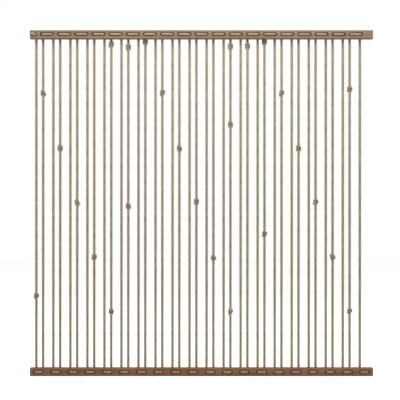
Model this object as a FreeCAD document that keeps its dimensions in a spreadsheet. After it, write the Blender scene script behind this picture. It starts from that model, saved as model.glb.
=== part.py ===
# Rope screen: a floor-to-ceiling room divider. One long three-strand rope is laced up and
# down between a ceiling rail and a floor rail. The rope hangs behind the rails, comes forward
# through a hole, lies in a slot in the front face and goes back through the next hole.
#
# Frame: origin on the floor, under the middle of the rails. +X to the right seen from the
# front, +Y to the back, +Z up. Millimetres.

import FreeCAD, Part
import Sketcher
import math
import os

Vector = FreeCAD.Vector
doc = FreeCAD.newDocument("RopeScreen")

# ---------------------------------------------------------------- driving dimensions

sheet = doc.addObject("Spreadsheet::Sheet", "Dims")
DRIVING = (
    ("screen_height", 2520),      # floor to ceiling
    ("rail_length", 2500),
    ("rail_height", 60),
    ("rail_depth", 40),
    ("edge_round", 2.5),          # outer edges of a rail
    ("pair_count", 20),           # pairs of rope positions along a rail
    ("pair_gap", 50),             # between the two ropes of a pair
    ("end_margin", 37.5),         # rail end to the outermost rope
    ("rope_diameter", 18),
    ("rope_play", 1),             # clearance round the rope in its holes
    ("slot_play", 5),             # clearance beside the rope in a slot
    ("slot_depth", 14),
    ("bend_edge", 9),             # rounded wood edge that the rope turns over
    ("rim_round", 1.5),           # front rim of a slot
    ("knot_diameter", 37),
    ("knot_length", 41),
    ("tail_length", 10),          # straight end of the rope after its last bend
    ("screw_diameter", 6.5),
    ("head_diameter", 14),        # counterbore for a screw head
    ("head_depth", 20),
)
for row, (alias, value) in enumerate(DRIVING, start=1):
    sheet.set("A%d" % row, alias)
    sheet.set("B%d" % row, str(value))
    sheet.setAlias("B%d" % row, alias)
doc.recompute()


def dim(alias):
    """A driving dimension as a plain number."""
    return float(sheet.get(alias))


# Worked-out dimensions, once as expressions for the rails and once as numbers for the rope.
PITCH = "((Dims.rail_length - 2 * Dims.end_margin - Dims.pair_gap) / (Dims.pair_count - 1))"
HOLE_RADIUS = "(Dims.rope_diameter / 2 + Dims.rope_play)"
BEND_RADIUS = "(Dims.bend_edge + %s)" % HOLE_RADIUS
SLOT_WIDTH = "(Dims.rope_diameter + 2 * Dims.slot_play)"
STITCH_DEPTH = "(Dims.slot_depth - %s)" % HOLE_RADIUS
FRONT_BEND_Y = "(%s + %s - Dims.rail_depth / 2)" % (STITCH_DEPTH, BEND_RADIUS)
TOP_SPAN = "(%s - Dims.pair_gap)" % PITCH
BOTTOM_SPAN = "Dims.pair_gap"

pair_count = int(dim("pair_count"))
rope_radius = dim("rope_diameter") / 2
pitch = (dim("rail_length") - 2 * dim("end_margin") - dim("pair_gap")) / (pair_count - 1)
bend_radius = dim("bend_edge") + rope_radius + dim("rope_play")
front_y = -dim("rail_depth") / 2
back_y = dim("rail_depth") / 2
stitch_y = front_y + dim("slot_depth") - rope_radius - dim("rope_play")
run_y = back_y - dim("bend_edge") + bend_radius
back_bend_y = back_y - dim("bend_edge")
front_bend_y = stitch_y + bend_radius
join_y = (back_bend_y + front_bend_y) / 2     # a stitch meets a run here, inside the wood
low_hole_z = dim("rail_height") / 2
high_hole_z = dim("screen_height") - dim("rail_height") / 2


def pair_x(index):
    """Middle of a pair of rope positions; whole numbers are pairs, halves lie between."""
    return (index - (pair_count - 1) / 2) * pitch


def rope_x(number):
    """Axis of a rope position: 1 and 2 are the first pair, 3 and 4 the second."""
    pair = (number - 1) // 2
    side = -1 if number % 2 else 1
    return pair_x(pair) + side * dim("pair_gap") / 2


# ---------------------------------------------------------------- sketches for the rails

ORIGIN = (-1, 1)
X_AXIS = -1
START, END, CENTRE = 1, 2, 3


def plane(body, role):
    """One of a body's own origin planes or axes."""
    for feature in body.Origin.OriginFeatures:
        if feature.Role == role:
            return feature
    raise ValueError(role)


def new_sketch(body, name, role, place):
    """A sketch on an origin plane, moved by expressions: its local x, y and z."""
    sketch = body.newObject("Sketcher::SketchObject", name)
    sketch.AttachmentSupport = [(plane(body, role), "")]
    sketch.MapMode = "FlatFace"
    for letter, expression in zip("xyz", place):
        sketch.setExpression("AttachmentOffset.Base.%s" % letter, expression)
    return sketch


def size(sketch, constraint, name, expression):
    """Adds a dimension to a sketch and binds it to the sheet."""
    index = sketch.addConstraint(constraint)
    sketch.renameConstraint(index, name)
    sketch.setExpression("Constraints.%s" % name, expression)


def tie(sketch, *arguments):
    sketch.addConstraint(Sketcher.Constraint(*arguments))


def circle_sketch(body, name, role, place, radius):
    sketch = new_sketch(body, name, role, place)
    ring = sketch.addGeometry(Part.Circle(Vector(0, 0, 0), Vector(0, 0, 1), 5), False)
    tie(sketch, "Coincident", ring, CENTRE, *ORIGIN)
    size(sketch, Sketcher.Constraint("Radius", ring, 5), "radius", radius)
    return sketch


def two_circle_sketch(body, name, role, place, radius, span):
    """Two equal circles side by side on the sketch's x axis."""
    sketch = new_sketch(body, name, role, place)
    left = sketch.addGeometry(Part.Circle(Vector(-20, 0, 0), Vector(0, 0, 1), 5), False)
    right = sketch.addGeometry(Part.Circle(Vector(20, 0, 0), Vector(0, 0, 1), 5), False)
    tie(sketch, "Symmetric", left, CENTRE, right, CENTRE, *ORIGIN)
    tie(sketch, "PointOnObject", left, CENTRE, X_AXIS)
    tie(sketch, "Equal", left, right)
    size(sketch, Sketcher.Constraint("Radius", left, 5), "radius", radius)
    distance = Sketcher.Constraint("DistanceX", left, CENTRE, right, CENTRE, 40)
    size(sketch, distance, "span", span)
    return sketch


def rectangle_sketch(body, name, role, place, width, height):
    """A rectangle standing on the sketch's x axis, centred on its y axis."""
    sketch = new_sketch(body, name, role, place)
    corners = (Vector(-20, 0, 0), Vector(20, 0, 0), Vector(20, 50, 0), Vector(-20, 50, 0))
    sides = []
    for index in range(4):
        line = Part.LineSegment(corners[index], corners[(index + 1) % 4])
        sides.append(sketch.addGeometry(line, False))
    for index in range(4):
        tie(sketch, "Coincident", sides[index], END, sides[(index + 1) % 4], START)
    tie(sketch, "Horizontal", sides[2])
    tie(sketch, "Vertical", sides[1])
    tie(sketch, "Vertical", sides[3])
    tie(sketch, "Symmetric", sides[0], START, sides[0], END, *ORIGIN)
    bottom = Sketcher.Constraint("DistanceX", sides[0], START, sides[0], END, 40)
    side = Sketcher.Constraint("DistanceY", sides[1], START, sides[1], END, 50)
    size(sketch, bottom, "width", width)
    size(sketch, side, "height", height)
    return sketch


def slot_sketch(body, name, place, span, width):
    """A round-ended slot centred on the sketch's origin, on the front face."""
    sketch = new_sketch(body, name, "XZ_Plane", place)
    half, r, quarter = 30, 10, math.pi / 2
    up = Vector(0, 0, 1)
    left_ring = Part.Circle(Vector(-half, 0, 0), up, r)
    right_ring = Part.Circle(Vector(half, 0, 0), up, r)
    left = sketch.addGeometry(Part.ArcOfCircle(left_ring, quarter, 3 * quarter), False)
    right = sketch.addGeometry(Part.ArcOfCircle(right_ring, -quarter, quarter), False)
    top_line = Part.LineSegment(Vector(-half, r, 0), Vector(half, r, 0))
    low_line = Part.LineSegment(Vector(-half, -r, 0), Vector(half, -r, 0))
    top = sketch.addGeometry(top_line, False)
    low = sketch.addGeometry(low_line, False)
    tie(sketch, "Tangent", left, START, top, START)
    tie(sketch, "Tangent", left, END, low, START)
    tie(sketch, "Tangent", right, END, top, END)
    tie(sketch, "Tangent", right, START, low, END)
    tie(sketch, "Symmetric", left, CENTRE, right, CENTRE, *ORIGIN)
    tie(sketch, "PointOnObject", left, CENTRE, X_AXIS)
    tie(sketch, "Equal", left, right)
    size(sketch, Sketcher.Constraint("Radius", left, r), "end_radius", "%s / 2" % width)
    distance = Sketcher.Constraint("DistanceX", left, CENTRE, right, CENTRE, 2 * half)
    size(sketch, distance, "span", span)
    return sketch


def saddle_sketch(body, name, place, span):
    """The rope's way across the web between two holes: bend, straight, bend."""
    sketch = new_sketch(body, name, "XY_Plane", place)
    half, r, quarter = 30, 10, math.pi / 2
    up = Vector(0, 0, 1)
    right_ring = Part.Circle(Vector(half, 0, 0), up, r)
    left_ring = Part.Circle(Vector(-half, 0, 0), up, r)
    right = sketch.addGeometry(Part.ArcOfCircle(right_ring, -quarter, 0), False)
    line = Part.LineSegment(Vector(half, -r, 0), Vector(-half, -r, 0))
    middle = sketch.addGeometry(line, False)
    left = sketch.addGeometry(Part.ArcOfCircle(left_ring, -2 * quarter, -quarter), False)
    tie(sketch, "Tangent", right, START, middle, START)
    tie(sketch, "Tangent", left, END, middle, END)
    tie(sketch, "Symmetric", left, CENTRE, right, CENTRE, *ORIGIN)
    tie(sketch, "PointOnObject", right, CENTRE, X_AXIS)
    tie(sketch, "PointOnObject", right, END, X_AXIS)
    tie(sketch, "PointOnObject", left, START, X_AXIS)
    tie(sketch, "Equal", left, right)
    size(sketch, Sketcher.Constraint("Radius", right, r), "bend", BEND_RADIUS)
    distance = Sketcher.Constraint("DistanceX", left, CENTRE, right, CENTRE, 2 * half)
    size(sketch, distance, "straight", "%s - 2 * %s" % (span, BEND_RADIUS))
    return sketch


# ---------------------------------------------------------------- rails


def pocket(body, name, sketch, depth=None, reverse=False):
    """A cut along a sketch's normal, through the whole rail when no depth is given."""
    feature = body.newObject("PartDesign::Pocket", name)
    feature.Profile = sketch
    feature.Reversed = reverse
    if depth is None:
        feature.Type = "ThroughAll"
    else:
        feature.setExpression("Length", depth)
    return feature


def repeat(body, name, originals, count, step):
    """Repeats features along the rail."""
    feature = body.newObject("PartDesign::LinearPattern", name)
    feature.Originals = originals
    feature.Direction = (plane(body, "X_Axis"), [""])
    feature.Occurrences = count
    feature.setExpression("Length", "%d * %s" % (count - 1, step))
    body.Tip = feature
    return feature


def round_edges(body, name, base, wanted, radius):
    """Rounds the edges of a feature that pass a test."""
    doc.recompute()
    names = []
    for index, edge in enumerate(base.Shape.Edges, start=1):
        if wanted(edge):
            names.append("Edge%d" % index)
    if not names:
        raise ValueError("no edges for " + name)
    feature = body.newObject("PartDesign::Fillet", name)
    feature.Base = (base, names)
    feature.setExpression("Radius", radius)
    body.Tip = feature
    return feature


def in_plane(edge, y):
    box = edge.BoundBox
    return abs(box.YMin - y) < 1e-4 and abs(box.YMax - y) < 1e-4


def is_back_rim(edge):
    """The rim of a rope hole in the back face."""
    if not in_plane(edge, back_y) or not isinstance(edge.Curve, Part.Circle):
        return False
    return abs(edge.Curve.Radius - rope_radius - dim("rope_play")) < 1e-4


def is_slot_rim(edge):
    """An edge of a slot in the front face, not of the rail's own outline."""
    if not in_plane(edge, front_y):
        return False
    box = edge.BoundBox
    inset = dim("edge_round") + 1
    return box.ZMin > inset and box.ZMax < dim("rail_height") - inset


def make_rail(label, first_slot, slot_count, span, first_screw, screw_count, screw_step,
              head_up, single_hole=None):
    """A rail lying on the floor; its body's Placement carries it up to where it belongs.

    first_slot and first_screw count pairs from the first one. head_up puts the screw heads
    in the upper face. single_hole is the number of a rope position with a hole of its own.
    """
    body = doc.addObject("PartDesign::Body", label)
    body.Label = label
    middle_z = "Dims.rail_height / 2"
    front = "Dims.rail_depth / 2"
    slot_x = "(%s - (Dims.pair_count - 1) / 2) * %s" % (first_slot, PITCH)
    screw_x = "(%s - (Dims.pair_count - 1) / 2) * %s" % (first_screw, PITCH)

    section = rectangle_sketch(body, label + "_section", "YZ_Plane", ("0 mm",) * 3,
                               "Dims.rail_depth", "Dims.rail_height")
    beam = body.newObject("PartDesign::Pad", label + "_beam")
    beam.Profile = section
    beam.Midplane = True
    beam.setExpression("Length", "Dims.rail_length")
    round_edges(body, label + "_edges", beam, lambda edge: True, "Dims.edge_round")

    slot = pocket(body, label + "_slot",
                  slot_sketch(body, label + "_slot_outline", (slot_x, middle_z, front),
                              span, SLOT_WIDTH),
                  "Dims.slot_depth")
    ring = circle_sketch(body, label + "_saddle_ring", "XZ_Plane",
                         ("%s + %s / 2" % (slot_x, span), middle_z, "-%s" % FRONT_BEND_Y),
                         HOLE_RADIUS)
    way = saddle_sketch(body, label + "_saddle_way", (slot_x, FRONT_BEND_Y, middle_z), span)
    saddle = body.newObject("PartDesign::SubtractivePipe", label + "_saddle")
    saddle.Profile = ring
    saddle.Spine = (way, ["Edge1", "Edge2", "Edge3"])
    holes = pocket(body, label + "_holes",
                   two_circle_sketch(body, label + "_hole_rings", "XZ_Plane",
                                     (slot_x, middle_z, front), HOLE_RADIUS, span))
    doc.recompute()
    tip = repeat(body, label + "_slots", [slot, saddle, holes], slot_count, PITCH)

    if single_hole is not None:
        x = "%s + %s * Dims.pair_gap / 2" % (
            "(%d - (Dims.pair_count - 1) / 2) * %s" % ((single_hole - 1) // 2, PITCH),
            -1 if single_hole % 2 else 1)
        place = (x, middle_z, front)
        rim = circle_sketch(body, label + "_end_rim", "XZ_Plane", place,
                            SLOT_WIDTH + " / 2")
        pocket(body, label + "_end_recess", rim, "Dims.slot_depth")
        hole = circle_sketch(body, label + "_end_ring", "XZ_Plane", place, HOLE_RADIUS)
        tip = pocket(body, label + "_end_hole", hole)

    tip = round_edges(body, label + "_back_rims", tip, is_back_rim, "Dims.bend_edge")
    tip = round_edges(body, label + "_slot_rims", tip, is_slot_rim, "Dims.rim_round")

    shank = circle_sketch(body, label + "_screw_ring", "XY_Plane",
                          (screw_x, "0 mm", "Dims.rail_height"), "Dims.screw_diameter / 2")
    bore = pocket(body, label + "_screw_bore", shank)
    head_z = "Dims.rail_height" if head_up else "0 mm"
    head = circle_sketch(body, label + "_head_ring", "XY_Plane",
                         (screw_x, "0 mm", head_z), "Dims.head_diameter / 2")
    sink = pocket(body, label + "_head_sink", head, "Dims.head_depth", reverse=not head_up)
    repeat(body, label + "_screws", [bore, sink], screw_count, "%d * %s" % (screw_step, PITCH))
    doc.recompute()
    return body


top_rail = make_rail("top_rail", "0.5", pair_count - 1, TOP_SPAN, "2", 4, 5,
                     head_up=False, single_hole=1)
top_rail.setExpression("Placement.Base.z", "Dims.screen_height - Dims.rail_height")
bottom_rail = make_rail("bottom_rail", "0", pair_count, BOTTOM_SPAN, "0.5", 4, 6,
                        head_up=True)

# ---------------------------------------------------------------- rope

ROPE_SECTION = math.pi * rope_radius ** 2


def tube(edges, start, direction):
    """The rope's solid along a route of straight runs and tangent arcs."""
    route = Part.Wire(edges)
    ring = Part.Wire([Part.Circle(start, direction, rope_radius).toShape()])
    solid = route.makePipeShell([ring], True, True)
    error = abs(solid.Volume / (ROPE_SECTION * route.Length) - 1)
    if error > 1e-3:
        raise ValueError("a rope tube has the wrong volume")
    return solid


def straight(first, last):
    return Part.LineSegment(first, last).toShape()


def bend(first, centre, last):
    """A quarter turn from first to last round a centre."""
    half_way = (first + last) * 0.5 - centre
    middle = centre + half_way.normalize() * (first - centre).Length
    return Part.Arc(first, middle, last).toShape()


def elbow(hole_z, side):
    """The rope's turn from a hole to its run behind the rail: side is +1 up, -1 down."""
    inside = Vector(0, join_y, hole_z)
    first = Vector(0, back_bend_y, hole_z)
    centre = Vector(0, back_bend_y, hole_z + side * bend_radius)
    last = Vector(0, run_y, hole_z + side * bend_radius)
    return tube([straight(inside, first), bend(first, centre, last)], inside, Vector(0, 1, 0))


def stitch(span, hole_z, right_end_y):
    """The rope in a slot: forward through one hole, across, and back through the next."""
    left_x = -span / 2
    right_x = span / 2
    a = Vector(left_x, join_y, hole_z)
    b = Vector(left_x, front_bend_y, hole_z)
    b_centre = Vector(left_x + bend_radius, front_bend_y, hole_z)
    c = Vector(left_x + bend_radius, stitch_y, hole_z)
    d = Vector(right_x - bend_radius, stitch_y, hole_z)
    e_centre = Vector(right_x - bend_radius, front_bend_y, hole_z)
    e = Vector(right_x, front_bend_y, hole_z)
    f = Vector(right_x, right_end_y, hole_z)
    route = [straight(a, b), bend(b, b_centre, c), straight(c, d), bend(d, e_centre, e),
             straight(e, f)]
    return tube(route, a, Vector(0, -1, 0))


def barrel():
    """A knot's bulk, standing on the origin: rope-sized end faces and a bulging side."""
    half = dim("knot_length") / 2
    low = Vector(rope_radius, 0, 0)
    waist = Vector(dim("knot_diameter") / 2, 0, half)
    high = Vector(rope_radius, 0, 2 * half)
    axis_low = Vector(0, 0, 0)
    axis_high = Vector(0, 0, 2 * half)
    outline = Part.Wire([straight(axis_low, low), Part.Arc(low, waist, high).toShape(),
                         straight(high, axis_high), straight(axis_high, axis_low)])
    return Part.Face(outline).revolve(axis_low, Vector(0, 0, 1), 360)


def knot(x, z):
    """A knot on a run. One that reaches up behind the rail sits further back to clear it."""
    half = dim("knot_length") / 2
    if z + half <= dim("screen_height") - dim("rail_height"):
        return barrel().translated(Vector(x, run_y, z - half))
    y = back_y + dim("rope_play") + dim("knot_diameter") / 2
    core = Part.makeCylinder(rope_radius, 2 * half, Vector(x, run_y, z - half))
    bulk = barrel().translated(Vector(x, y, z - half))
    return core.fuse(bulk).removeSplitter().Solids[0]


# Knots by rope number. Each place is a share of the way up the run: 0 is down against the
# bottom bend and 1 is up against the top one.
KNOTS = {
    1: (0.215,),
    2: (0.839,),
    4: (0.670,),
    6: (0.502,),
    8: (0.335,),
    10: (0.167, 0.993),
    12: (0.492, 0.983),
    14: (1.0,),
    16: (0.840,),
    18: (0.670,),
    20: (0.505,),
    22: (0.332,),
    24: (0.166, 0.743, 0.986),
    26: (0.987,),
    28: (0.405, 1.0),
    30: (0.839,),
    32: (0.670,),
    34: (0.504,),
    36: (0.335,),
    38: (0.168, 0.852),
}


low_elbow = elbow(low_hole_z, 1)
high_elbow = elbow(high_hole_z, -1)


def run(number):
    """One vertical run: an elbow at each end, and stretches of rope between its knots."""
    x = rope_x(number)
    low = low_hole_z + bend_radius
    high = high_hole_z - bend_radius
    half = dim("knot_length") / 2
    clear = high - low - 2 * half
    pieces = [low_elbow.translated(Vector(x, 0, 0))]
    bottom = low
    for share in KNOTS.get(number, ()):
        z = low + half + share * clear
        stretch = z - half - bottom
        pieces.append(Part.makeCylinder(rope_radius, stretch, Vector(x, run_y, bottom)))
        pieces.append(knot(x, z))
        bottom = z + half
    if high - bottom > dim("rope_play"):
        pieces.append(Part.makeCylinder(rope_radius, high - bottom, Vector(x, run_y, bottom)))
    pieces.append(high_elbow.translated(Vector(x, 0, 0)))
    return pieces


def add_rope(label, solids, place=FreeCAD.Placement()):
    """A rope sub-part: one solid, or several that share a node."""
    feature = doc.addObject("Part::Feature", label)
    feature.Label = label
    feature.Shape = solids[0] if len(solids) == 1 else Part.makeCompound(solids)
    feature.Placement = place
    return feature


position_count = 2 * pair_count
run_count = position_count - 1
rope_nodes = []
for number in range(1, run_count + 1):
    rope_nodes.append(add_rope("rope_run_%02d" % number, run(number)))

top_stitch = stitch(pitch - dim("pair_gap"), high_hole_z, join_y)
top_stitches = []
for pair in range(pair_count - 1):
    top_stitches.append(top_stitch.translated(Vector(pair_x(pair + 0.5), 0, 0)))
rope_nodes.append(add_rope("top_stitches", top_stitches))

# The last bottom stitch goes right through the rail to the knot that ends the rope.
knot_start_y = back_y + dim("rope_play")
bottom_stitch = stitch(dim("pair_gap"), low_hole_z, join_y)
last_stitch = stitch(dim("pair_gap"), low_hole_z, knot_start_y)
bottom_stitches = []
for pair in range(pair_count - 1):
    bottom_stitches.append(bottom_stitch.translated(Vector(pair_x(pair), 0, 0)))
bottom_stitches.append(last_stitch.translated(Vector(pair_x(pair_count - 1), 0, 0)))
rope_nodes.append(add_rope("bottom_stitches", bottom_stitches))

# The rope starts as a short tail, laid over to the left on the front of the top rail.
tail_x = rope_x(1)
tail_y = front_y - rope_radius - dim("rope_play")
tail_in = Vector(tail_x, join_y, high_hole_z)
tail_b = Vector(tail_x, tail_y + bend_radius, high_hole_z)
tail_centre = Vector(tail_x - bend_radius, tail_y + bend_radius, high_hole_z)
tail_c = Vector(tail_x - bend_radius, tail_y, high_hole_z)
tail_tip = tail_c + Vector(-dim("tail_length"), 0, 0)
tail_route = [straight(tail_in, tail_b), bend(tail_b, tail_centre, tail_c),
              straight(tail_c, tail_tip)]
rope_nodes.append(add_rope("rope_start_tail", [tube(tail_route, tail_in, Vector(0, -1, 0))]))

# The rope ends in a stopper knot behind the bottom rail.
end_start = Vector(rope_x(position_count), knot_start_y, low_hole_z)
backwards = FreeCAD.Rotation(Vector(1, 0, 0), -90)
rope_nodes.append(add_rope("rope_end_knot", [barrel()],
                           FreeCAD.Placement(end_start, backwards)))

# ---------------------------------------------------------------- checks and export

doc.recompute()
for item in doc.Objects:
    if "Invalid" in item.State or "Error" in item.State:
        raise RuntimeError("%s failed: %s" % (item.Label, item.State))
nodes = [top_rail, bottom_rail] + rope_nodes
for node in nodes:
    if node.Shape.isNull() or not node.Shape.isValid():
        raise RuntimeError("%s has no valid shape" % node.Label)

os.makedirs("parts", exist_ok=True)
for node in nodes:
    node.Shape.exportStep("parts/%s.step" % node.Label)
print("%d nodes, bend radius %.1f mm, pitch %.1f mm" % (len(nodes), bend_radius, pitch))
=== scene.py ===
# %% [markdown]
# # A rope screen
#
# The object is a room divider. One long twisted rope goes up and down between a wooden rail
# on the ceiling and a wooden rail on the floor. It hangs behind the rails, comes forward
# through a hole, lies in a slot on the front face and goes back through the next hole. Here
# and there a knot is tied in it. The frame holds the CAD solids: the rails stay as they are
# and get a wood finish, and every plain rope solid is replaced by a rope with real strands.

# %% Load the frame
import bpy
import math
import random
import numpy as np
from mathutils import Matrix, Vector


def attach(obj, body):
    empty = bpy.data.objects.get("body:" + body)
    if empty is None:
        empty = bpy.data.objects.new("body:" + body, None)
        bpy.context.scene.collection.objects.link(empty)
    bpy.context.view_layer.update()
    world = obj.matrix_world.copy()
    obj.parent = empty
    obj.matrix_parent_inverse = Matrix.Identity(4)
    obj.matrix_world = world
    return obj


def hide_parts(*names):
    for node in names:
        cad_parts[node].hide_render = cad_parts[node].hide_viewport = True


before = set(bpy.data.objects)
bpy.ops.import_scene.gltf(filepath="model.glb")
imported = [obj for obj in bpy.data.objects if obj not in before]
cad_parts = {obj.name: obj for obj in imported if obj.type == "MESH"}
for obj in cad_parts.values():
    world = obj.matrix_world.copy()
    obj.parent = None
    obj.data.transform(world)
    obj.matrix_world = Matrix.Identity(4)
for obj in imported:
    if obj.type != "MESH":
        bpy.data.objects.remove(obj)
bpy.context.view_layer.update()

# %% [markdown]
# ## Camera
#
# A screen two and a half metres wide fills the frame from five and a half metres away, at
# chest height, looking level. Tilting the camera would make the ropes lean together, so it
# stays level and a small vertical shift places the screen in the frame, as a view camera's
# rising front does.

# %% Camera
CAMERA_PLACE = (-0.016, -5.576, 1.1605)
LEVEL = math.radians(90)     # a camera that isn't turned looks straight down


def deselect():
    """Operators act on all that is selected, so each cell that adds something calls this."""
    bpy.ops.object.select_all(action="DESELECT")


deselect()
bpy.ops.object.camera_add(location=CAMERA_PLACE, rotation=(LEVEL, 0, 0))
camera = bpy.context.object
camera.name = "Camera"
camera.data.sensor_width = 36.0
camera.data.lens = 68.7
camera.data.shift_x = 0.0018
camera.data.shift_y = 0.0422
camera.data.dof.use_dof = False
bpy.context.scene.camera = camera
print("camera at", tuple(round(v, 3) for v in camera.location))

# %% [markdown]
# ## Where the rope goes
#
# The rope has forty places along the rails, in pairs: 50 mm apart in a pair and 75 mm
# between pairs. All of its turns repeat at those places, so a few numbers give every route.
# They are the same points that the CAD solids follow, in metres.

# %% The rope's places
MM = 0.001
PAIR_STEP = 125 * MM
PAIR_GAP = 50 * MM
ROPE_RADIUS = 10.6 * MM      # out to the crowns; by area the rope is 8.8 mm in radius
PACKED_RADIUS = 9.8 * MM     # where a hole in a rail presses the strands round
LOW_HOLE = 30 * MM           # height of the holes in the floor rail
HIGH_HOLE = 2490 * MM        # and in the ceiling rail
IN_WOOD = 7 * MM             # depth at which a stitch meets a run, inside a rail
BEHIND = 30 * MM             # depth of the hanging runs
IN_SLOT = -16 * MM           # depth of the stitches
TURN = 23 * MM               # from a corner of the route to the next point on a run


def pair_x(index):
    """Middle of a pair of rope places, counted from the first."""
    return (index - 9.5) * PAIR_STEP


def rope_x(number):
    """Rope place 1 to 40, from the left."""
    side = -1 if number % 2 else 1
    return pair_x((number - 1) // 2) + side * PAIR_GAP / 2


print("first and last rope at", rope_x(1), rope_x(40))

# %% [markdown]
# ## A route as a smooth curve
#
# A rope never turns a sharp corner. A NURBS curve of order 3 rounds the corners of its
# control points by itself, and with its endpoint switch on it starts and ends exactly at
# the first and last of them. Order and switch are set after the points are added, because
# they are clamped to the number of points. Reading the curve as a mesh gives its points.

# %% Smooth route
SAMPLE = 0.5 * MM            # spacing at which a route is measured before it is thinned


def smooth_route(points):
    """Points along the NURBS curve that has these control points."""
    curve = bpy.data.curves.new("route", "CURVE")
    curve.dimensions = "3D"
    curve.resolution_u = 24
    spline = curve.splines.new("NURBS")
    spline.points.add(len(points) - 1)
    for target, point in zip(spline.points, points):
        target.co = (*point, 1.0)
    spline.order_u = 3
    spline.use_endpoint_u = True
    holder = bpy.data.objects.new("route", curve)
    bpy.context.scene.collection.objects.link(holder)
    mesh = bpy.data.meshes.new_from_object(holder)
    line = np.array([v.co for v in mesh.vertices], float)
    bpy.data.objects.remove(holder)
    bpy.data.curves.remove(curve)
    bpy.data.meshes.remove(mesh)
    return line


def length_along(line):
    steps = np.linalg.norm(np.diff(line, axis=0), axis=1)
    return np.concatenate([[0.0], np.cumsum(steps)])


def spread_points(line, step_at):
    """The same line with points a chosen step apart: step_at gives a step for each point."""
    along = length_along(line)
    fine = np.arange(0.0, along[-1], SAMPLE)
    places = np.stack([np.interp(fine, along, line[:, k]) for k in range(3)], axis=1)
    counted = np.concatenate([[0.0], np.cumsum(SAMPLE / step_at(places))[:-1]])
    wanted = np.linspace(0.0, counted[-1], int(counted[-1]) + 2)
    chosen = np.interp(wanted, counted, fine)
    return np.stack([np.interp(chosen, along, line[:, k]) for k in range(3)], axis=1)


corner = smooth_route([(0, 0, 0), (0, 20 * MM, 0), (0, 20 * MM, 20 * MM)])
missed = np.linalg.norm(corner - np.array((0, 20 * MM, 0)), axis=1).min()
print("a route of", len(corner), "points passes its corner at", round(missed / MM, 1), "mm")

# %% [markdown]
# ## Three strands
#
# The rope is three strands laid together, one turn every 63.5 mm. Seen from outside, a
# cross-section is three round lobes with a deep groove between each two. Sweeping that
# outline along the route, turning as it goes, gives the rope's skin in one closed mesh.
# Circles swept one by one would hide two thirds of their faces inside the rope. The frame
# is carried along the line by reflections, so it never spins by itself, and the twist is
# added to it. Each face gets a UV: u counts strands round the rope, v metres along it.

# %% Strand outline
LAY = 63.5 * MM              # length of one full turn of the strands
STRAND = 1 / (1 + 2 / math.sqrt(3))      # strand radius, as a share of the rope's
LOBE_ANGLES = (-60, -53, -38, -13, 13, 38, 53)   # of a strand's points, from its crown
GROOVE_FLOOR = 0.60          # share of the radius that a groove goes down to


def outline():
    """Angle and radius round the rope, as shares of its radius, strand by strand."""
    angles, radii, places = [], [], []
    for strand in range(3):
        for degrees in LOBE_ANGLES:
            a = math.radians(degrees)
            off = 1 - STRAND
            inside = max(0.0, STRAND ** 2 - (off * math.sin(a)) ** 2)
            angles.append(a + strand * 2 * math.pi / 3)
            radii.append(max(GROOVE_FLOOR, off * math.cos(a) + math.sqrt(inside)))
            places.append(strand + 0.5 + degrees / 120)
    return np.array(angles), np.array(radii), np.array(places)


OUTLINE = outline()
print("groove depth", round(1 - OUTLINE[1].min(), 2), "of the radius")

# %% Frames along a line
def carried_frames(line):
    """Tangent, side and up at each point, with no spin of their own."""
    tangent = np.gradient(line, axis=0)
    tangent /= np.linalg.norm(tangent, axis=1)[:, None]
    side = np.zeros_like(line)
    start = np.array((1.0, 0, 0)) if abs(tangent[0][0]) < 0.9 else np.array((0, 0, 1.0))
    start = start - tangent[0] * start.dot(tangent[0])
    side[0] = start / np.linalg.norm(start)
    for i in range(len(line) - 1):
        v1 = line[i + 1] - line[i]
        c1 = v1.dot(v1)
        moved_side = side[i] - v1 * (2 / c1) * v1.dot(side[i])
        moved_tangent = tangent[i] - v1 * (2 / c1) * v1.dot(tangent[i])
        v2 = tangent[i + 1] - moved_tangent
        c2 = max(v2.dot(v2), 1e-18)
        side[i + 1] = moved_side - v2 * (2 / c2) * v2.dot(moved_side)
    return tangent, side, np.cross(tangent, side)


upright = np.array([(0, 0, 0), (0, 0, 0.1), (0, 0, 0.2)])
print("an upright line's side points to", carried_frames(upright)[1][0])

# %% Strand skin
WOOD_MIDDLE = 3 * MM         # depth of the middle of a hole's narrow part
WOOD_REACH = 11 * MM         # from there to where the strands stand free
WOOD_EASE = 4 * MM           # length over which they open from round to free


def packed_in_wood(line):
    """1 where the rope fills its hole in a rail, and the strands are pressed round."""
    return np.clip((WOOD_REACH - np.abs(line[:, 1] - WOOD_MIDDLE)) / WOOD_EASE, 0, 1)


def lay_strands(line, radius, phase):
    """Vertices, faces and UVs of the rope's skin along a line; radius is one per point."""
    angles, shape, places = OUTLINE
    _, side, up = carried_frames(line)
    along = length_along(line)
    turn = phase - 2 * math.pi * along / LAY
    a = angles[None, :] + turn[:, None]
    packed = packed_in_wood(line)[:, None]
    r = shape[None, :] * (1 - packed) * radius[:, None] + packed * PACKED_RADIUS
    skin = (line[:, None, :] + (r * np.cos(a))[:, :, None] * side[:, None, :]
            + (r * np.sin(a))[:, :, None] * up[:, None, :])
    rings, count = len(line), len(angles)
    corners = skin.reshape(-1, 3)
    i, k = np.meshgrid(np.arange(rings - 1), np.arange(count), indexing="ij")
    n = (k + 1) % count
    faces = np.stack([i * count + k, i * count + n, (i + 1) * count + n,
                      (i + 1) * count + k], axis=-1).reshape(-1, 4)
    u0 = places[k]
    u1 = np.where(n == 0, 3.0 + places[0], places[n])
    v0, v1 = along[i], along[i + 1]
    uv = np.stack([u0, v0, u1, v0, u1, v1, u0, v1], axis=-1).reshape(-1, 4, 2)
    return corners, faces, uv


sample_skin = lay_strands(upright, np.full(len(upright), ROPE_RADIUS), 0.0)
print("a ring of the skin has", len(sample_skin[0]) // len(upright), "points")

# %% A piece of rope
CUT_END = 1.5 * MM           # how far the middle of a cut end stands out
SMOOTH_UNDER = math.radians(62)          # sharper edges, the grooves, stay crisp


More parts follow.
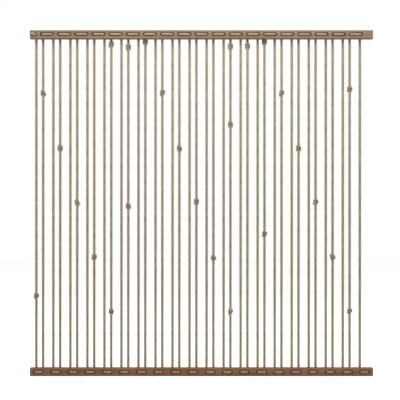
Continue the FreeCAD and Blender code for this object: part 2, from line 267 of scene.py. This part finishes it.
class Skin:
    """Collects the skins of one piece, and closes their ends."""

    def __init__(self):
        self.points, self.faces, self.uvs, self.total = [], [], [], 0

    def add(self, line, radius, phase, cut_end=False):
        """One stretch of rope. Its last end is a cut end, or flat where it meets another."""
        points, faces, uv = lay_strands(line, radius, phase)
        count = len(OUTLINE[0])
        extra = []
        for first, direction, bulge in ((0, -1, 0.0),
                                        (len(points) - count, 1, CUT_END if cut_end else 0.0)):
            ring = np.arange(first, first + count)
            middle = points[ring].mean(0)
            way = line[1] - line[0] if direction < 0 else line[-1] - line[-2]
            way = way / np.linalg.norm(way) * direction
            tip = len(points) + len(extra)
            extra.append(middle + way * bulge)
            for k in range(count):
                pair = (ring[(k + 1) % count], ring[k])
                if direction > 0:
                    pair = pair[::-1]
                self.faces.append((self.total + pair[0], self.total + pair[1],
                                   self.total + tip))
                here, after = k * 3 / count, (k + 1) * 3 / count
                self.uvs.append(((here, 0), (after, 0), (here, 0)))
        self.faces.extend((faces + self.total).tolist())
        self.uvs.extend(uv.tolist())
        self.points.append(np.concatenate([points, np.array(extra)]))
        self.total += len(points) + len(extra)

    def build(self, name, material, node):
        mesh = bpy.data.meshes.new(name)
        mesh.from_pydata(np.concatenate(self.points).tolist(), [], self.faces)
        layer = mesh.uv_layers.new(name="strands")
        flat = [value for face in self.uvs for corner in face for value in corner]
        layer.data.foreach_set("uv", flat)
        mesh.materials.append(material)
        piece = bpy.data.objects.new(name, mesh)
        bpy.context.scene.collection.objects.link(piece)
        deselect()
        piece.select_set(True)
        bpy.context.view_layer.objects.active = piece
        bpy.ops.object.shade_smooth_by_angle(angle=SMOOTH_UNDER)
        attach(piece, "root")
        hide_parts(node)
        return piece


print("grooves keep an edge over", round(math.degrees(SMOOTH_UNDER)), "degrees")

# %% [markdown]
# ## Jute
#
# Jute is a dry, hairy fibre. Each strand is made of yarns that show as fine lines running
# almost along the rope, and the tone drifts between straw, tan and grey over a hand's
# length. The grooves are darkened in the colour as painted shade, with some dust. The yarn
# lines are noise that is stretched along the rope. Its coordinates are worked out from the
# UV map, so the lines follow every turn, and they use the sine and cosine of the way round,
# so there is no seam.

# %% Node helpers
def socket(group, name, way, kind="NodeSocketFloat", value=None):
    made = group.interface.new_socket(name=name, in_out=way, socket_type=kind)
    if value is not None:
        made.default_value = value
    return made


def maths(tree, operation, *inputs):
    node = tree.nodes.new("ShaderNodeMath")
    node.operation = operation
    for index, value in enumerate(inputs):
        if isinstance(value, (int, float)):
            node.inputs[index].default_value = value
        else:
            tree.links.new(value, node.inputs[index])
    return node.outputs[0]


def noise(tree, vector, scale, detail=3.0, roughness=0.55):
    node = tree.nodes.new("ShaderNodeTexNoise")
    node.inputs["Scale"].default_value = scale
    node.inputs["Detail"].default_value = detail
    node.inputs["Roughness"].default_value = roughness
    tree.links.new(vector, node.inputs["Vector"])
    return node.outputs["Fac"]


def ramp(tree, factor, *stops):
    node = tree.nodes.new("ShaderNodeValToRGB")
    elements = node.color_ramp.elements
    while len(elements) < len(stops):
        elements.new(0.5)
    for element, (place, colour) in zip(elements, stops):
        element.position = place
        element.color = (*colour, 1.0) if len(colour) == 3 else colour
    tree.links.new(factor, node.inputs["Fac"])
    return node.outputs["Color"]


def blend_colours(tree, kind, factor, first, second):
    node = tree.nodes.new("ShaderNodeMix")
    node.data_type = "RGBA"
    node.blend_type = kind
    for value, target in ((factor, node.inputs[0]), (first, node.inputs[6]),
                          (second, node.inputs[7])):
        if isinstance(value, (int, float)):
            target.default_value = value
        elif isinstance(value, tuple):
            target.default_value = (*value, 1.0)
        else:
            tree.links.new(value, target)
    return node.outputs[2]


print("helpers for sockets, maths, noise, ramps and blends")

# %% Yarn masks
YARN_TURN = 0.82             # share of a strand's turn that its own yarns take back
YARNS_ROUND = 9.0            # noise scale round the rope
YARNS_ALONG = 130.0          # and along it, per metre
DRIFT_ALONG = 26.0           # changes of tone along a strand, per metre


def yarn_group():
    """Masks for a laid rope, from its UV map: groove, yarn lines and fine fibre."""
    group = bpy.data.node_groups.new("laid_yarn", "ShaderNodeTree")
    socket(group, "Strands UV", "INPUT", "NodeSocketVector")
    socket(group, "Turn length", "INPUT", value=LAY)
    socket(group, "Crown", "OUTPUT")
    socket(group, "Yarn", "OUTPUT")
    socket(group, "Fibre", "OUTPUT")
    socket(group, "Drift", "OUTPUT")
    into = group.nodes.new("NodeGroupInput")
    out = group.nodes.new("NodeGroupOutput")
    split = group.nodes.new("ShaderNodeSeparateXYZ")
    group.links.new(into.outputs["Strands UV"], split.inputs[0])
    u, v = split.outputs[0], split.outputs[1]
    # Way round the rope without the strands' turn: yarns lie almost along the rope.
    turns = maths(group, "DIVIDE", v, into.outputs["Turn length"])
    round_way = maths(group, "SUBTRACT", maths(group, "DIVIDE", u, 3.0),
                      maths(group, "MULTIPLY", turns, YARN_TURN))
    angle = maths(group, "MULTIPLY", round_way, 2 * math.pi)
    join = group.nodes.new("ShaderNodeCombineXYZ")
    for index, wave in enumerate(("SINE", "COSINE")):
        across = maths(group, "MULTIPLY", maths(group, wave, angle), YARNS_ROUND)
        group.links.new(across, join.inputs[index])
    group.links.new(maths(group, "MULTIPLY", v, YARNS_ALONG), join.inputs[2])
    yarn = noise(group, join.outputs[0], 0.8, 2.0, 0.5)
    fibre = noise(group, join.outputs[0], 3.4, 4.0, 0.7)
    slow = group.nodes.new("ShaderNodeCombineXYZ")
    group.links.new(maths(group, "MULTIPLY", v, DRIFT_ALONG), slow.inputs[0])
    group.links.new(maths(group, "FLOOR", u), slow.inputs[1])
    drift = noise(group, slow.outputs[0], 1.0, 2.0, 0.6)
    # 1 on a strand's crown, 0 in the grooves beside it.
    place = maths(group, "SUBTRACT", maths(group, "FRACT", u), 0.5)
    away = maths(group, "ABSOLUTE", maths(group, "MULTIPLY", place, 2.0))
    crown = maths(group, "SUBTRACT", 1.0, maths(group, "POWER", away, 2.0))
    for name, value in (("Crown", crown), ("Yarn", yarn), ("Fibre", fibre), ("Drift", drift)):
        group.links.new(value, out.inputs[name])
    return group


YARN = yarn_group()
print("group", YARN.name, "has", len(YARN.nodes), "nodes")

# %% Jute material
def new_material(name, roughness):
    material = bpy.data.materials.new(name)
    material.use_nodes = True
    shader = material.node_tree.nodes["Principled BSDF"]
    shader.inputs["Roughness"].default_value = roughness
    return material, material.node_tree, shader


def bump(tree, height, strength, distance, normal=None):
    node = tree.nodes.new("ShaderNodeBump")
    node.inputs["Strength"].default_value = strength
    node.inputs["Distance"].default_value = distance
    tree.links.new(height, node.inputs["Height"])
    if normal is not None:
        tree.links.new(normal, node.inputs["Normal"])
    return node.outputs["Normal"]


def jute(name, dark, middle, light):
    material, tree, shader = new_material(name, 0.92)
    uv = tree.nodes.new("ShaderNodeUVMap")
    uv.uv_map = "strands"
    masks = tree.nodes.new("ShaderNodeGroup")
    masks.node_tree = YARN
    masks.inputs["Turn length"].default_value = LAY
    tree.links.new(uv.outputs[0], masks.inputs["Strands UV"])
    body = ramp(tree, masks.outputs["Drift"], (0.32, dark), (0.5, middle), (0.68, light))
    lines = ramp(tree, masks.outputs["Yarn"], (0.34, (0.62, 0.58, 0.52)), (0.62, (1, 1, 1)))
    hairs = ramp(tree, masks.outputs["Fibre"], (0.30, (0.70, 0.68, 0.64)),
                 (0.70, (1.12, 1.12, 1.1)))
    # Painted shade, with a little dust: the colour goes nearly black in the grooves between the
    # strands, where the rope shades itself.
    shade = ramp(tree, masks.outputs["Crown"], (0.0, (0.07, 0.055, 0.04)),
                 (0.48, (0.44, 0.42, 0.39)), (0.93, (1.0, 1.0, 1.0)))
    colour = blend_colours(tree, "MULTIPLY", 0.8, body, lines)
    colour = blend_colours(tree, "MULTIPLY", 0.8, colour, hairs)
    colour = blend_colours(tree, "MULTIPLY", 1.0, colour, shade)
    tree.links.new(colour, shader.inputs["Base Color"])
    normal = bump(tree, masks.outputs["Yarn"], 0.7, 1.2 * MM)
    normal = bump(tree, masks.outputs["Fibre"], 0.5, 0.5 * MM, normal)
    tree.links.new(normal, shader.inputs["Normal"])
    shader.inputs["Specular IOR Level"].default_value = 0.25
    shader.inputs["Sheen Weight"].default_value = 0.12
    shader.inputs["Sheen Roughness"].default_value = 0.6
    return material


jute_rope = jute("jute_rope", (0.39, 0.315, 0.195), (0.60, 0.495, 0.325), (0.80, 0.68, 0.48))
print("material", jute_rope.name)

# %% [markdown]
# ## Knots
#
# The knots are overhand knots, pulled tight. Their shape is the same after half a turn
# about a level line through the middle, so half of the points give the whole knot. The
# rope goes up, round the front, back through its own loop, round the front again and on
# up. Pulled tight, the rope is squeezed to about nine tenths of its thickness inside.

# %% Knot points
KNOT_HALF = (                # millimetres from the knot's middle, from below to the middle
    (0, 0, -31), (-1.5, 0.5, -22), (-3.5, 0.5, -13.5), (-4.5, -2.5, -4.5), (-4, -8, 2.5),
    (-0.5, -11, 9), (6, -11.3, 13.6), (11.5, -4.5, 14.4), (12.5, 7.5, 13.8), (8.5, 12, 8),
)
KNOT_MIDDLE = (0, 12.5, 0)
SQUEEZE = 0.88               # rope radius inside a knot, as a share


def knot_points(middle, turn):
    """Control points of a knot round a middle, turned about the upright line."""
    upper = [(-x, y, -z) for x, y, z in reversed(KNOT_HALF)]
    c, s = math.cos(math.radians(turn)), math.sin(math.radians(turn))
    made = []
    for x, y, z in (*KNOT_HALF, KNOT_MIDDLE, *upper):
        made.append(Vector(middle) + Vector((x * c - y * s, x * s + y * c, z)) * MM)
    return made


print("a knot has", 2 * len(KNOT_HALF) + 1, "control points")

# %% Where the knots are
KNOTS = {                    # rope place: heights as shares of the way up, and turns
    1: ((0.215, -70),),
    2: ((0.839, -105),),
    4: ((0.670, -80),),
    6: ((0.502, -115),),
    8: ((0.335, -75),),
    10: ((0.167, -90), (0.9905, -70)),
    12: ((0.492, -100), (0.9805, -78)),
    14: ((1.0, -85),),
    16: ((0.840, -65),),
    18: ((0.670, -110),),
    20: ((0.505, -82),),
    22: ((0.332, -98),),
    24: ((0.166, -72), (0.743, -102), (0.9835, -86)),
    26: ((0.9845, -100),),
    28: ((0.405, -76), (1.0, -96)),
    30: ((0.839, -68),),
    32: ((0.670, -104),),
    34: ((0.504, -84),),
    36: ((0.335, -112),),
    38: ((0.168, -79), (0.852, -95)),
}
LOWEST_KNOT = 69.5 * MM
KNOT_TRAVEL = 2381 * MM
UNDER_RAIL = 2460 * MM       # underside of the ceiling rail
KNOT_BEHIND = 37 * MM        # depth of a knot that is pulled up behind the rail
KNOT_REACH = 20.5 * MM       # half a knot's height


def knots_on(number):
    found = []
    for share, turn in KNOTS.get(number, ()):
        height = LOWEST_KNOT + share * KNOT_TRAVEL
        depth = KNOT_BEHIND if height + KNOT_REACH > UNDER_RAIL else BEHIND
        found.append(((rope_x(number), depth, height), turn))
    return found


print("knots", sum(len(v) for v in KNOTS.values()))

# %% [markdown]
# ## The hanging runs
#
# A run starts inside the floor rail, comes out at the back, turns up, hangs straight and
# turns in again at the top. The route needs one point beside each turn, as far from the
# corner as the end is, because otherwise the curve would start to lean long before it
# turns. A knot's own points come in between.

# %% Run route
SHORT_STEP = 1.9 * MM        # between rings in the turns and knots
LONG_STEP = 4.2 * MM         # between rings on a straight stretch
NEAR = 32 * MM               # how far from a turn's or knot's height the short steps go
TIGHT = 16 * MM              # within this distance of a knot's middle the rope is squeezed
EASE = 14 * MM               # and from there on it gets its full thickness back


def run_route(number):
    x = rope_x(number)
    points = [(x, IN_WOOD, LOW_HOLE), (x, BEHIND, LOW_HOLE), (x, BEHIND, LOW_HOLE + TURN)]
    for middle, turn in knots_on(number):
        points.extend(knot_points(middle, turn))
    if points[-1][2] > HIGH_HOLE - TURN:
        points.pop()
    else:
        points.append((x, BEHIND, HIGH_HOLE - TURN))
    points.extend([(x, BEHIND, HIGH_HOLE), (x, IN_WOOD, HIGH_HOLE)])
    return points


def run_steps(number):
    """Steps between rings: short in the turns and knots, longer on the straight."""
    heights = [LOW_HOLE, HIGH_HOLE] + [middle[2] for middle, _ in knots_on(number)]

    def step_at(places):
        near = np.min(np.abs(places[:, 2][:, None] - np.array(heights)[None, :]), axis=1)
        return np.where(near < NEAR, SHORT_STEP, LONG_STEP)

    return step_at


def rope_radius(line, knots):
    """The rope's radius at each point: thinner where a knot squeezes it."""
    radius = np.full(len(line), ROPE_RADIUS)
    for middle, _ in knots:
        away = np.linalg.norm(line - np.array(middle), axis=1)
        share = np.clip((away - TIGHT) / EASE, 0, 1)
        share = share * share * (3 - 2 * share)
        radius = np.minimum(radius, ROPE_RADIUS * (SQUEEZE + (1 - SQUEEZE) * share))
    return radius


print("run 24 has", len(run_route(24)), "control points")

# %% The runs
chance = random.Random(40)
faces_made = 0
for number in range(1, 40):
    line = spread_points(smooth_route(run_route(number)), run_steps(number))
    skin = Skin()
    skin.add(line, rope_radius(line, knots_on(number)), chance.uniform(0, 2 * math.pi))
    piece = skin.build("laid_rope_%02d" % number, jute_rope, "rope_run_%02d" % number)
    faces_made += len(piece.data.polygons)
print("39 runs with", faces_made, "faces")

# %% [markdown]
# ## Stitches
#
# Between two runs the rope shows at the front as a short stitch in its slot: 75 mm long on
# the ceiling rail, 50 mm on the floor rail. It stands a few millimetres proud of the wood.

# %% Stitches
STITCH_TURN = 19 * MM        # from a stitch's corner to the next point along it
STITCH_STEP = 2.1 * MM       # between rings


def stitch_route(left, right, height, bulge, right_end):
    """From one hole to the next; bulge is how far a loose stitch stands out."""
    depth = IN_SLOT - bulge
    return [(left, IN_WOOD, height), (left, depth, height), (left + STITCH_TURN, depth, height),
            (right - STITCH_TURN, depth, height), (right, depth, height),
            (right, right_end, height)]


def even_steps(places):
    return np.full(len(places), STITCH_STEP)


def stitches(name, node, spans, height, last_end=IN_WOOD):
    skin = Skin()
    for left, right in spans:
        end = last_end if (left, right) == spans[-1] else IN_WOOD
        route = stitch_route(left, right, height, chance.uniform(-0.3, 1.0) * MM, end)
        line = spread_points(smooth_route(route), even_steps)
        skin.add(line, np.full(len(line), ROPE_RADIUS), chance.uniform(0, 2 * math.pi))
    return skin.build(name, jute_rope, node)


top_spans = [(rope_x(2 * k), rope_x(2 * k + 1)) for k in range(1, 20)]
low_spans = [(rope_x(2 * k - 1), rope_x(2 * k)) for k in range(1, 21)]
stitches("top_rope_stitches", "top_stitches", top_spans, HIGH_HOLE)
TO_END_KNOT = 24 * MM        # the last floor stitch goes right through the rail
stitches("floor_rope_stitches", "bottom_stitches", low_spans, LOW_HOLE, TO_END_KNOT)
print("stitches", len(top_spans), "and", len(low_spans))

# %% [markdown]
# ## The rope's two ends
#
# The rope starts as a short tail that comes out of the first hole of the ceiling rail and
# is laid over to the left. It ends in a stopper knot behind the last hole of the floor
# rail, with a short cut end.

# %% Tail
TAIL_WAY = ((-1, -12), (-6, -27), (-18, -28), (-25, -27))    # to the left and depth, in mm
tail_x = rope_x(1)
tail = [(tail_x, IN_WOOD, HIGH_HOLE)]
for x, y in TAIL_WAY:
    tail.append((tail_x + x * MM, y * MM, HIGH_HOLE))
line = spread_points(smooth_route(tail), even_steps)
skin = Skin()
skin.add(line, np.full(len(line), ROPE_RADIUS), 0.4, cut_end=True)
skin.build("rope_tail", jute_rope, "rope_start_tail")
print("tail ends at", np.round(line[-1], 4))

# %% End knot
END_DEPTH = 43 * MM          # of the stopper knot's middle
END_TURN = 35                # degrees about the rope's own line
end_x = rope_x(40)
end_route = []
for point in knot_points((0, 0, 0), END_TURN):
    # The knot's upright line is laid over to point backwards.
    end_route.append((end_x + point.x, END_DEPTH + point.z, LOW_HOLE - point.y))
end_route[0] = (end_x, 20 * MM, LOW_HOLE)
end_route[-1] = (end_x, 69 * MM, LOW_HOLE - 1 * MM)
line = spread_points(smooth_route(end_route), even_steps)
skin = Skin()
skin.add(line, rope_radius(line, [((end_x, END_DEPTH, LOW_HOLE), 0)]), 1.1, cut_end=True)
skin.build("rope_stopper_knot", jute_rope, "rope_end_knot")
print("end knot from", np.round(line.min(0), 3), "to", np.round(line.max(0), 3))

# %% [markdown]
# ## Wood
#
# The rails are brown-stained timber, planed smooth, with grain along their length. Long
# noise makes the figure, fine noise the pores, and the corners are worn a little paler.
# Inside the slots and holes the wood gets painted shade. All of it reads object coordinates,
# because the rails' meshes have no UV map of their own. The pattern is one node group,
# placed once for each rail with its own colours and middle height.

# %% Wood masks
HALF_DEPTH = 20 * MM         # of a rail
HALF_HEIGHT = 30 * MM
WEAR = 9 * MM                # noise turns this into the ragged width of a worn corner
WEAR_START = 2.2 * MM        # taken off it, so that most of a corner stays sound
# The painted shade inside the slots and holes is laid between these two depths.
BEHIND_FACE = -18.5 * MM     # depths between which the wood is the inside of a cut
BEFORE_BACK = 19.3 * MM
CUT_HALF_WIDTH = 14.9 * MM   # of a slot
WITHOUT_ENDS = 1246.5 * MM   # the rails' ends are not cuts


def timber_group():
    """Masks for a rail: long figure, pores, worn corners and painted shade inside its slots and
    holes.
    """
    group = bpy.data.node_groups.new("planed_timber", "ShaderNodeTree")
    socket(group, "Place", "INPUT", "NodeSocketVector")
    socket(group, "Middle height", "INPUT", value=0.03)
    for name in ("Figure", "Pores", "Worn", "Painted recess shade"):
        socket(group, name, "OUTPUT")
    into = group.nodes.new("NodeGroupInput")
    out = group.nodes.new("NodeGroupOutput")
    split = group.nodes.new("ShaderNodeSeparateXYZ")
    group.links.new(into.outputs["Place"], split.inputs[0])
    x, y, z = split.outputs
    rise = maths(group, "SUBTRACT", z, into.outputs["Middle height"])

    def stretched(along, across):
        join = group.nodes.new("ShaderNodeCombineXYZ")
        for index, (value, scale) in enumerate(((x, along), (y, across), (rise, across))):
            group.links.new(maths(group, "MULTIPLY", value, scale), join.inputs[index])
        return join.outputs[0]

    figure = noise(group, stretched(1.6, 38.0), 1.0, 5.0, 0.62)
    pores = noise(group, stretched(26.0, 700.0), 1.0, 3.0, 0.6)
    # Nearness to a long corner: both distances from the faces are small there.
    from_side = maths(group, "SUBTRACT", HALF_DEPTH, maths(group, "ABSOLUTE", y))
    from_face = maths(group, "SUBTRACT", HALF_HEIGHT, maths(group, "ABSOLUTE", rise))
    reach = maths(group, "MAXIMUM", from_side, from_face)
    ragged = maths(group, "MULTIPLY", noise(group, stretched(30.0, 160.0), 1.0, 3.0), WEAR)
    worn = maths(group, "LESS_THAN", reach, maths(group, "SUBTRACT", ragged, WEAR_START))
    # Painted shade inside the slots and holes: between the two faces, within a slot's width, and
    # not at the rail's ends.
    depth = maths(group, "MULTIPLY", maths(group, "GREATER_THAN", y, BEHIND_FACE),
                  maths(group, "LESS_THAN", y, BEFORE_BACK))
    band = maths(group, "LESS_THAN", maths(group, "ABSOLUTE", rise), CUT_HALF_WIDTH)
    inner = maths(group, "LESS_THAN", maths(group, "ABSOLUTE", x), WITHOUT_ENDS)
    painted_recess_shade = maths(group, "MULTIPLY", maths(group, "MULTIPLY", depth, band), inner)
    for name, value in (("Figure", figure), ("Pores", pores), ("Worn", worn), ("Painted recess shade", painted_recess_shade)):
        group.links.new(value, out.inputs[name])
    return group


TIMBER = timber_group()
print("group", TIMBER.name, "has", len(TIMBER.nodes), "nodes")

# %% Wood materials
def timber(name, middle_height, dark, middle, light):
    material, tree, shader = new_material(name, 0.6)
    place = tree.nodes.new("ShaderNodeTexCoord")
    masks = tree.nodes.new("ShaderNodeGroup")
    masks.node_tree = TIMBER
    masks.inputs["Middle height"].default_value = middle_height
    tree.links.new(place.outputs["Object"], masks.inputs["Place"])
    colour = ramp(tree, masks.outputs["Figure"], (0.30, dark), (0.5, middle), (0.72, light))
    fine = ramp(tree, masks.outputs["Pores"], (0.34, (0.66, 0.62, 0.58)), (0.52, (1, 1, 1)))
    colour = blend_colours(tree, "MULTIPLY", 0.75, colour, fine)
    paler = tuple(min(1.0, c * 1.35) for c in light)
    colour = blend_colours(tree, "MIX", maths(tree, "MULTIPLY", masks.outputs["Worn"], 0.45),
                           colour, paler)
    # Painted shade: inside the slots and holes the colour is pulled towards a dark brown.
    recess_shade_colour = tuple(c * 0.45 for c in dark)
    colour = blend_colours(tree, "MIX", maths(tree, "MULTIPLY", masks.outputs["Painted recess shade"], 0.6),
                           colour, recess_shade_colour)
    tree.links.new(colour, shader.inputs["Base Color"])
    rough = ramp(tree, masks.outputs["Figure"], (0.3, (0.52,) * 3), (0.7, (0.68,) * 3))
    tree.links.new(rough, shader.inputs["Roughness"])
    normal = bump(tree, masks.outputs["Pores"], 0.35, 0.4 * MM)
    normal = bump(tree, masks.outputs["Figure"], 0.25, 1.5 * MM, normal)
    tree.links.new(normal, shader.inputs["Normal"])
    shader.inputs["Specular IOR Level"].default_value = 0.22
    return material


def refinish(node, material):
    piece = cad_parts[node]
    piece.data.materials.clear()
    piece.data.materials.append(material)


# Painted light and shade: the ceiling rail gets lighter, cooler colours and the floor rail
# darker, redder ones. They stand in for light that is stronger and cooler at the top.
refinish("top_rail", timber("top_timber", HIGH_HOLE, (0.165, 0.103, 0.060), (0.238, 0.155, 0.094),
                            (0.315, 0.215, 0.14)))
refinish("bottom_rail", timber("floor_timber", LOW_HOLE, (0.165, 0.075, 0.030),
                               (0.245, 0.122, 0.054), (0.33, 0.18, 0.09)))
print("both rails refinished")

# %% [markdown]
# ## Floor and light
#
# A wide pale floor and a white surround give an even, bright ground. One broad soft light
# stands above and in front, so the ropes are brightest at the top and the slots keep a thin
# shadow. A weaker one behind shows the backs of the ropes. The surround looks white, but it
# gives only part of that as light, because otherwise it would wash out the rope's grooves.

# %% Floor
FLOOR_SIDE = 30              # metres, so that its far edge is out of sight
FLOOR_GLOW = 0.69            # what the camera sees besides the light that falls on it


deselect()
bpy.ops.mesh.primitive_plane_add(size=1, location=(0, 0, 0))
floor = bpy.context.object
floor.name = "Floor"
bpy.ops.object.mode_set(mode="EDIT")
bpy.ops.mesh.select_all(action="SELECT")
bpy.ops.transform.resize(value=(FLOOR_SIDE, FLOOR_SIDE, 1))
bpy.ops.mesh.subdivide(number_cuts=6)
bpy.ops.object.mode_set(mode="OBJECT")
paper, tree, shader = new_material("floor_paper", 0.9)
place = tree.nodes.new("ShaderNodeTexCoord")
tree.links.new(ramp(tree, noise(tree, place.outputs["Object"], 3.0), (0.0, (0.68, 0.68, 0.68)),
                    (1.0, (0.74, 0.74, 0.74))), shader.inputs["Base Color"])
shader.inputs["Emission Color"].default_value = (1.0, 1.0, 1.0, 1.0)
ray = tree.nodes.new("ShaderNodeLightPath")
tree.links.new(maths(tree, "MULTIPLY", ray.outputs["Is Camera Ray"], FLOOR_GLOW),
               shader.inputs["Emission Strength"])
floor.data.materials.append(paper)
print("floor with", len(floor.data.polygons), "faces")

# %% Light
def backdrop(name, seen, given):
    """A white world: one strength for what the camera sees, another for its light."""
    world = bpy.data.worlds.new(name)
    world.use_nodes = True
    tree = world.node_tree
    light = tree.nodes["Background"]
    light.inputs["Strength"].default_value = given
    light.inputs["Color"].default_value = (1.0, 1.0, 1.0, 1.0)
    shown = tree.nodes.new("ShaderNodeBackground")
    shown.inputs["Strength"].default_value = seen
    shown.inputs["Color"].default_value = (1.0, 1.0, 1.0, 1.0)
    ray = tree.nodes.new("ShaderNodeLightPath")
    mix = tree.nodes.new("ShaderNodeMixShader")
    tree.links.new(ray.outputs["Is Camera Ray"], mix.inputs[0])
    tree.links.new(light.outputs[0], mix.inputs[1])
    tree.links.new(shown.outputs[0], mix.inputs[2])
    tree.links.new(mix.outputs[0], tree.nodes["World Output"].inputs["Surface"])
    return world


def soft_light(name, place, aim, width, height, power):
    deselect()
    bpy.ops.object.light_add(type="AREA", location=place)
    light = bpy.context.object
    light.name = name
    light.data.shape = "RECTANGLE"
    light.data.size, light.data.size_y = width, height
    light.data.energy = power
    light.rotation_euler = (Vector(aim) - Vector(place)).to_track_quat("-Z", "Y").to_euler()
    return light


# Standard keeps a white ground white; the default transform would turn it grey.
bpy.context.scene.view_settings.view_transform = "Standard"
SCREEN_MIDDLE = (0, 0, 1.2)
bpy.context.scene.world = backdrop("studio", seen=1.0, given=0.40)
soft_light("softbox", (0, -2.4, 4.2), SCREEN_MIDDLE, width=3.4, height=2.8, power=158)
soft_light("back_fill", (0, 3.4, 3.4), SCREEN_MIDDLE, width=3.4, height=2.0, power=42)
